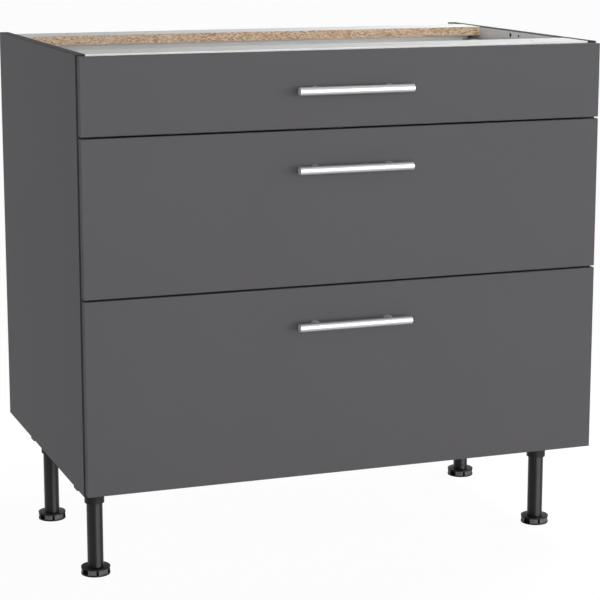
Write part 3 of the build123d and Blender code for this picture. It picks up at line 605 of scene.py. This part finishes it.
def board(node, finishes, banded=()):
    """A board from its CAD node, cut where the banding ends.

    Each side has its finish or is raw, and holes and grooves show chipboard darkened as painted shade.
    """
    lo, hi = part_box(node)
    shape = cad_copy(node)
    for side in banded:
        axis = AXES[side[1]]
        cut_across(shape, axis, lo[axis] + BAND if side[0] == "-" else hi[axis] - BAND)
    # holes and grooves take the darker chipboard, a painted shade
    used = list(dict.fromkeys(finishes.values())) + [CHIPBOARD, BORE_SHADE_CHIPBOARD]
    for face in shape.faces:
        side = side_of(face, lo, hi, banded)
        face.material_index = used.index(finishes.get(side, CHIPBOARD) if side else BORE_SHADE_CHIPBOARD)
    carry(piece_of(shape, node + "_board", used), node)


def carcass_boards():
    """Side panels, bottom, rails and back. Only edges in view are banded, and the rear rail has none."""
    for side, outer, inner in (("left", "-x", "+x"), ("right", "+x", "-x")):
        # the side panels' front and top banding is painted darker as shade
        board(f"side_panel_{side}",
              {outer: ANTHRACITE, inner: LIGHT, "-y": SHADED_SIDE_BANDING, "+z": SHADED_SIDE_BANDING}, ("-y", "+z"))
    board("bottom_panel", {"-z": LIGHT, "+z": LIGHT, "-y": ANTHRACITE_BAND}, ("-y",))
    board("front_rail", {"-z": LIGHT, "+z": LIGHT, "-y": LIGHT_BAND}, ("-y",))
    board("rear_rail", {"-z": LIGHT, "+z": LIGHT})
    sheet = cad_copy("back_panel")
    for face in sheet.faces:
        face.material_index = 0 if face.normal.y < -FACING else 1
    carry(piece_of(sheet, "back_panel_sheet", [LIGHT, HARDBOARD]), "back_panel")


def drawer_boards(name):
    """The faced front, banded all round in its own colour, and the light grey base and back."""
    edges = ("-x", "+x", "-z", "+z")
    finishes = {"-y": ANTHRACITE, "+y": LIGHT, **{side: ANTHRACITE_BAND for side in edges}}
    board(f"front_{name}", finishes, edges)
    board(f"drawer_base_{name}", {"-z": LIGHT, "+z": LIGHT, "-y": LIGHT_BAND}, ("-y",))
    edges = ("-x", "+x", "+z")
    finishes = {"-y": LIGHT, "+y": LIGHT, **{side: LIGHT_BAND for side in edges}}
    board(f"drawer_back_{name}", finishes, edges)


# ------------------------------------------------------------------ metal and plastic pieces
def dressed(node, finish, rounding=0.0):
    """A CAD node's own shape, its edges rounded where a radius is given."""
    piece = carry(piece_of(cad_copy(node), node + "_piece", [finish]), node)
    if rounding:
        round_edges(piece, rounding)
    return piece


def gallery(name):
    """Painted steel tubes that plug into grey plastic collars at both ends."""
    node = f"gallery_rails_{name}"
    rails = dressed(node, PAINTED_STEEL, COLLAR_ROUNDING)
    rails.data.materials.append(GREY_PLASTIC)
    boxes = solids(node)
    collar = min(hi.x - lo.x for lo, hi in boxes) / 2 - COLLAR_SKIN
    axes = [(lo + hi) / 2 for lo, hi in boxes]
    for face in rails.data.polygons:
        axis = min(axes, key=lambda place: abs(place.x - face.center.x))
        if math.hypot(face.center.x - axis.x, face.center.z - axis.z) > collar:
            face.material_index = 1


def drawer_hardware(name):
    """Steel sides, brackets and runners of one drawer, its bar handle and, where it has them, its rails."""
    for side in ("left", "right"):
        dressed(f"drawer_side_{side}_{name}", PAINTED_STEEL, STEEL_ROUNDING)
    dressed(f"front_brackets_{name}", PAINTED_STEEL)
    for rail in ("drawer_rails", "intermediate_rails", "cabinet_rails"):
        dressed(f"{rail}_{name}", ZINC)
    bar = dressed(f"handle_bar_{name}", HANDLE_STEEL)
    bar.data.materials.append(POST_METAL)
    for face in bar.data.polygons:
        if abs(face.normal.x) > FACING:
            face.material_index = 1
    dressed(f"handle_posts_{name}", POST_METAL)
    screw_set(f"handle_screws_{name}", AXES["y"], lambda place: 1, HANDLE_SCREW)
    if f"gallery_rails_{name}" in NODES:
        gallery(name)


def carcass_hardware():
    """Dowels, cams and screws of the boards and runners, and the clear bumpers behind the fronts."""
    dressed("dowels", BEECH)
    dressed("cam_bolts", ZINC)
    dressed("cam_housings", CASTING)
    screw_set("plate_screws", AXES["z"], lambda place: -1, PLATE_SCREW)
    screw_set("runner_screws", AXES["x"], lambda place: -1 if place.x > 0 else 1, RUNNER_SCREW)
    pads = solids("bumpers")
    forwards = Vector((0, -1, 0))
    places = [(Vector(((lo.x + hi.x) / 2, hi.y, (lo.z + hi.z) / 2)), forwards) for lo, hi in pads]
    lo, hi = pads[0]
    sizes = {"Radius": (hi.x - lo.x) / 2, "Height": hi.y - lo.y}
    carry(grow("bumper_domes", PAD_TREE, places, sizes, CLEAR_PAD), "bumpers")


def screw_foot(leg):
    """The slotted foot; its stem is a thread that turns in the tube."""
    node = f"foot_{leg}"
    lo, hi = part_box(node)
    middle = (Vector(lo) + Vector(hi)) / 2
    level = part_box(f"leg_tube_{leg}")[0][2] + STEM_START
    shape = cad_copy(node)
    cut_across(shape, AXES["z"], level)
    for vert in shape.verts:
        if vert.co.z > level - TOUCH:
            spoke = Vector((vert.co.x - middle.x, vert.co.y - middle.y))
            spoke *= STEM_CORE / spoke.length
            vert.co.x = middle.x + spoke.x
            vert.co.y = middle.y + spoke.y
    foot = piece_of(shape, node + "_piece", [BLACK_PLASTIC, LUG_SHEEN_PLASTIC])
    # the lugs' outward faces get the grey plastic: a painted sheen on the same black plastic
    for face in foot.data.polygons:
        spoke = Vector((face.center.x - middle.x, face.center.y - middle.y, 0))
        on_rim = spoke.length > FOOT_RIM * (hi[0] - middle.x)
        outward = face.normal.dot(spoke.normalized()) > FACING
        face.material_index = int(on_rim and outward and LUG_SHEEN_BAND[0] < face.center.z < LUG_SHEEN_BAND[1])
    round_edges(carry(foot, node), PLASTIC_ROUNDING)
    sizes = {"Radius": STEM_CORE + THREAD_RISE, "Ridge": THREAD_RIDGE, "Pitch": THREAD_PITCH,
             "Length": hi[2] - level - 2 * THREAD_FREE}
    start = Vector((middle.x, middle.y, level + THREAD_FREE))
    upwards = Vector((0, 0, 1))
    thread = grow(f"foot_thread_{leg}", THREAD_TREE, [(start, upwards)], sizes, BLACK_PLASTIC)
    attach(thread, BODY_OF[node])


def legs():
    """Four sockets under the bottom panel, with a tube and a screw foot each."""
    dressed("leg_sockets", BLACK_PLASTIC, PLASTIC_ROUNDING)
    for leg in LEGS:
        dressed(f"leg_tube_{leg}", TUBE_PLASTIC, PLASTIC_ROUNDING)
        screw_foot(leg)


# ------------------------------------------------------------------ stage
def seen_as_white(tree):
    """1 where a ray comes from the camera or from a mirror or clear surface."""
    path = add(tree, "ShaderNodeLightPath").outputs
    either = add(tree, "ShaderNodeMath", {0: path["Is Camera Ray"], 1: path["Is Glossy Ray"]},
                 operation="MAXIMUM")
    any_of_them = add(tree, "ShaderNodeMath", {0: either.outputs[0], 1: path["Is Transmission Ray"]},
                      operation="MAXIMUM")
    return any_of_them.outputs[0]


def floor():
    """A white floor that keeps a light shadow."""
    material = bpy.data.materials.new("floor_white")
    material.use_nodes = True
    tree = material.node_tree
    tree.nodes.clear()
    lit = add(tree, "ShaderNodeBsdfDiffuse", {"Color": linear(FLOOR_LIT)})
    shadow = add(tree, "ShaderNodeBsdfDiffuse", {"Color": linear(FLOOR_SHADOW)})
    glow = add(tree, "ShaderNodeEmission", {"Color": linear(WHITE), "Strength": FLOOR_GLOW})
    pale = add(tree, "ShaderNodeAddShader", {0: shadow.outputs[0], 1: glow.outputs[0]})
    mixed = add(tree, "ShaderNodeMixShader",
                {0: seen_as_white(tree), 1: lit.outputs[0], 2: pale.outputs[0]})
    add(tree, "ShaderNodeOutputMaterial", {"Surface": mixed.outputs[0]})
    mesh = bpy.data.meshes.new("floor")
    corners = [(x * FLOOR_REACH, y * FLOOR_REACH, 0) for x, y in ((-1, -1), (1, -1), (1, 1), (-1, 1))]
    mesh.from_pydata(corners, [], [(0, 1, 2, 3)])
    new_piece("floor", mesh, [material])


def world():
    """Studio light that comes mostly from the sides, seen as plain white."""
    studio = bpy.data.worlds.new("studio")
    bpy.context.scene.world = studio
    studio.use_nodes = True
    tree = studio.node_tree
    tree.nodes.clear()
    heading = add(tree, "ShaderNodeTexCoord").outputs["Generated"]
    rise = add(tree, "ShaderNodeSeparateXYZ", {"Vector": heading}).outputs["Z"]
    strength = add(tree, "ShaderNodeMapRange",
                   {"Value": rise, "To Min": HORIZON_LIGHT, "To Max": ZENITH_LIGHT}).outputs[0]
    fill = add(tree, "ShaderNodeBackground", {"Color": linear(WHITE), "Strength": strength})
    white = add(tree, "ShaderNodeBackground", {"Color": linear(WHITE), "Strength": 1.0})
    mixed = add(tree, "ShaderNodeMixShader",
                {0: seen_as_white(tree), 1: fill.outputs[0], 2: white.outputs[0]})
    add(tree, "ShaderNodeOutputWorld", {"Surface": mixed.outputs[0]})


def softbox(name, azimuth, distance, height, width, tall, radiance, mirrored=True, lights=True):
    """A rectangular lamp that faces the cabinet. Azimuth 0 is in front, and 90 is to the right.

    One that isn't mirrored lights the surfaces and leaves no highlight. One that doesn't light is a card
    that only shows in glossy surfaces.
    """
    lamp = bpy.data.lights.new(name, "AREA")
    lamp.shape = "RECTANGLE"
    lamp.size = width
    lamp.size_y = tall
    lamp.energy = radiance * math.pi * width * tall
    holder = bpy.data.objects.new(name, lamp)
    bpy.context.scene.collection.objects.link(holder)
    turn = math.radians(azimuth)
    place = Vector((distance * math.sin(turn), -distance * math.cos(turn), height))
    holder.location = place
    holder.rotation_euler = (LAMP_AIM - place).to_track_quat("-Z", "Y").to_euler()
    holder.visible_glossy = mirrored
    holder.visible_diffuse = lights
    holder.visible_camera = False


def lamps():
    """A broad even light in front, a weak one at the left, and a small one over the right end of the top.

    The two cards give the bars and the tubes of the legs their highlights.
    """
    softbox("key_front", azimuth=-8, distance=12, height=1.8, width=10.0, tall=3.6, radiance=4.7,
            mirrored=False)
    softbox("card_right", azimuth=35, distance=6, height=1.0, width=5.0, tall=2.0, radiance=17,
            lights=False)
    softbox("card_middle", azimuth=5, distance=6, height=1.0, width=2.2, tall=2.0, radiance=14,
            lights=False)
    softbox("fill_left", azimuth=-80, distance=8, height=3.0, width=2.5, tall=3.0, radiance=0.6,
            mirrored=False)
    softbox("top_right", azimuth=100, distance=0.9, height=1.65, width=0.6, tall=0.6, radiance=10,
            mirrored=False)


def camera():
    """The camera that took the photograph."""
    lens = bpy.data.cameras.new("camera")
    lens.sensor_width = SENSOR
    lens.lens = SENSOR * FOCAL_PIXELS / PHOTO_SIZE
    lens.shift_y = CENTRE_SHIFT / PHOTO_SIZE
    lens.clip_end = SIGHT
    holder = bpy.data.objects.new("camera", lens)
    bpy.context.scene.collection.objects.link(holder)
    holder.location = CAMERA_PLACE
    holder.rotation_euler = Euler((math.radians(90 - CAMERA_PITCH), 0, math.radians(-CAMERA_YAW)))
    bpy.context.scene.camera = holder


carcass_boards()
carcass_hardware()
legs()
for drawer in DRAWERS:
    drawer_boards(drawer)
    drawer_hardware(drawer)
floor()
world()
lamps()
camera()
bpy.context.scene.view_settings.view_transform = "Standard"
